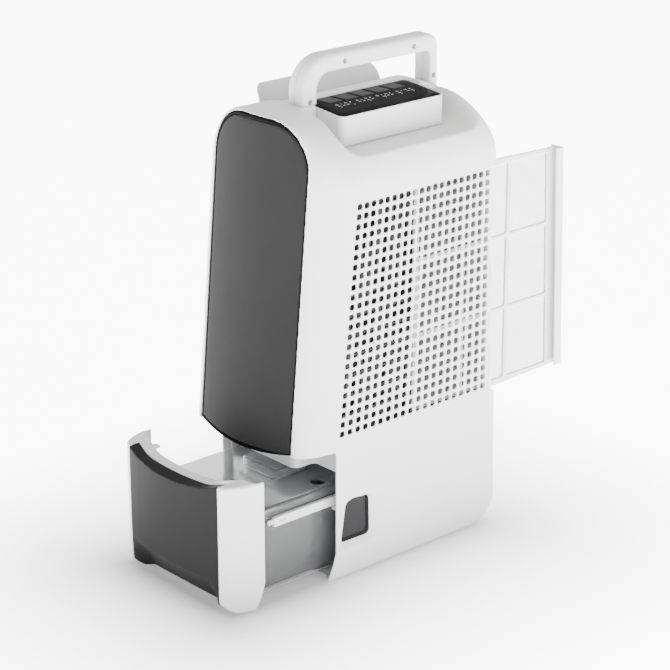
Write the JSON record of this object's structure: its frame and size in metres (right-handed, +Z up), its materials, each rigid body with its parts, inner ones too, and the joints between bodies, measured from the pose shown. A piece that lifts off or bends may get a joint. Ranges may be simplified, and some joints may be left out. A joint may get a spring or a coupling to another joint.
{
  "type": "dehumidifier",
  "caption": "Upright desiccant dehumidifier with a pull-out tank drawer, slide-out air filter, outlet flap, push buttons and carrying handle.",
  "frame": {"origin": "floor level, at the middle of the whole object's footprint with the tank and the filter partly drawn out", "axes": "+Z up, -Y to the front with the tank drawer, +X to the air intake side"},
  "size_m": [0.178, 0.462, 0.51],
  "materials": {
    "white_shell": "satin white plastic",
    "dark_panel": "satin dark grey plastic",
    "black_gloss": "glossy black plastic",
    "grey_plastic": "matte light grey plastic",
    "smoke_clear": "clear smoke-tinted plastic",
    "dark_plastic": "matte dark plastic",
    "soft_rubber": "matte",
    "steel": "bare steel",
    "aluminium_core": "bare",
    "coil_alloy": "heat-tinted alloy wire",
    "ceramic_core": "ceramic paper honeycomb",
    "gear_plastic": "acetal",
    "board": "coated circuit board",
    "sensor_plastic": "moulded",
    "float_foam": "expanded foam",
    "filter_net": "fine nylon net"
  },
  "bodies": {
    "housing": {"right_shell": "white_shell", "left_shell": "white_shell", "front_panel": "dark_panel", "front_trim": "black_gloss", "chassis": "grey_plastic", "base_tray": "grey_plastic", "feet": "soft_rubber", "tank_window": "black_gloss", "handle_right": "white_shell", "handle_left": "white_shell", "handle_screws": "steel", "base_screws": "steel", "control_box": "white_shell", "control_glass": "black_gloss", "display_board": "board", "filter_guides": "grey_plastic", "intake_grid": "grey_plastic", "condenser": "aluminium_core", "drip_tray": "grey_plastic", "wheel_frame": "grey_plastic", "wheel_axle": "steel", "heater_box": "steel", "heater_coil": "coil_alloy", "thermal_fuse": "ceramic_core", "wheel_motor": "steel", "fan_scroll": "dark_plastic", "fan_inlet_plate": "dark_plastic", "fan_motor": "steel", "outlet_duct": "grey_plastic", "outlet_grille": "grey_plastic", "flap_motor": "steel", "regen_scroll": "dark_plastic", "regen_motor": "steel", "power_board": "board", "humidity_sensor": "sensor_plastic", "float_sensor": "sensor_plastic", "tank_switch": "sensor_plastic", "power_inlet": "soft_rubber"},
    "tank": {"tank": "smoke_clear", "tank_lid": "smoke_clear", "tank_rails": "white_shell", "lid_cap": "smoke_clear", "tank_front": "white_shell", "tank_front_panel": "dark_panel"},
    "float": {"float": "float_foam", "float_magnet": "steel"},
    "filter": {"filter_frame": "white_shell", "filter_mesh": "filter_net"},
    "flap": {"flap": "white_shell"},
    "main_fan": {"fan_wheel": "dark_plastic", "fan_shaft": "steel"},
    "regen_fan": {"regen_wheel": "dark_plastic"},
    "wheel": {"desiccant_wheel": "ceramic_core", "wheel_rim": "gear_plastic"},
    "drive_pinion": {"pinion": "gear_plastic"},
    "key_1": {"button_1": "dark_plastic"},
    "key_2": {"button_2": "dark_plastic"},
    "key_3": {"button_3": "dark_plastic"},
    "key_4": {"button_4": "dark_plastic"},
    "key_5": {"button_5": "dark_plastic"}
  },
  "joints": [
    {"name": "tank_slide", "type": "slide", "parent": "housing", "child": "tank", "axis": [0, -1, 0], "range_m": [-0.0914, 0.15]},
    {"name": "float_swing", "type": "hinge", "parent": "tank", "child": "float", "pos_m": [0, -0.0814, 0.084], "axis": [-1, 0, 0], "range_deg": [0, 12]},
    {"name": "filter_slide", "type": "slide", "parent": "housing", "child": "filter", "axis": [0, 1, 0], "range_m": [-0.0945, 0.1]},
    {"name": "flap_hinge", "type": "hinge", "parent": "housing", "child": "flap", "pos_m": [-0.049, 0.022, 0.4491], "axis": [0, -1, 0], "range_deg": [-90, 15]},
    {"name": "fan_spin", "type": "hinge", "parent": "housing", "child": "main_fan", "pos_m": [-0.04, 0.006, 0.292], "axis": [1, 0, 0], "continuous": true},
    {"name": "regen_fan_spin", "type": "hinge", "parent": "housing", "child": "regen_fan", "pos_m": [-0.025, 0.06, 0.16], "axis": [1, 0, 0], "continuous": true},
    {"name": "wheel_spin", "type": "hinge", "parent": "housing", "child": "wheel", "pos_m": [0.038, 0.01, 0.27], "axis": [1, 0, 0], "continuous": true},
    {"name": "pinion_spin", "type": "hinge", "parent": "housing", "child": "drive_pinion", "pos_m": [0.038, -0.0692, 0.1908], "axis": [1, 0, 0], "continuous": true},
    {"name": "key_1_press", "type": "slide", "parent": "housing", "child": "key_1", "axis": [0.0924, 0, 0.9957], "range_m": [-0.0008, 0], "stiffness_N_per_m": 1200},
    {"name": "key_2_press", "type": "slide", "parent": "housing", "child": "key_2", "axis": [0.0924, 0, 0.9957], "range_m": [-0.0008, 0], "stiffness_N_per_m": 1200},
    {"name": "key_3_press", "type": "slide", "parent": "housing", "child": "key_3", "axis": [0.0924, 0, 0.9957], "range_m": [-0.0008, 0], "stiffness_N_per_m": 1200},
    {"name": "key_4_press", "type": "slide", "parent": "housing", "child": "key_4", "axis": [0.0924, 0, 0.9957], "range_m": [-0.0008, 0], "stiffness_N_per_m": 1200},
    {"name": "key_5_press", "type": "slide", "parent": "housing", "child": "key_5", "axis": [0.0924, 0, 0.9957], "range_m": [-0.0008, 0], "stiffness_N_per_m": 1200}
  ],
  "couplings": [
    {"joint": "pinion_spin", "follows": "wheel_spin", "ratio": -8.3333}
  ]
}
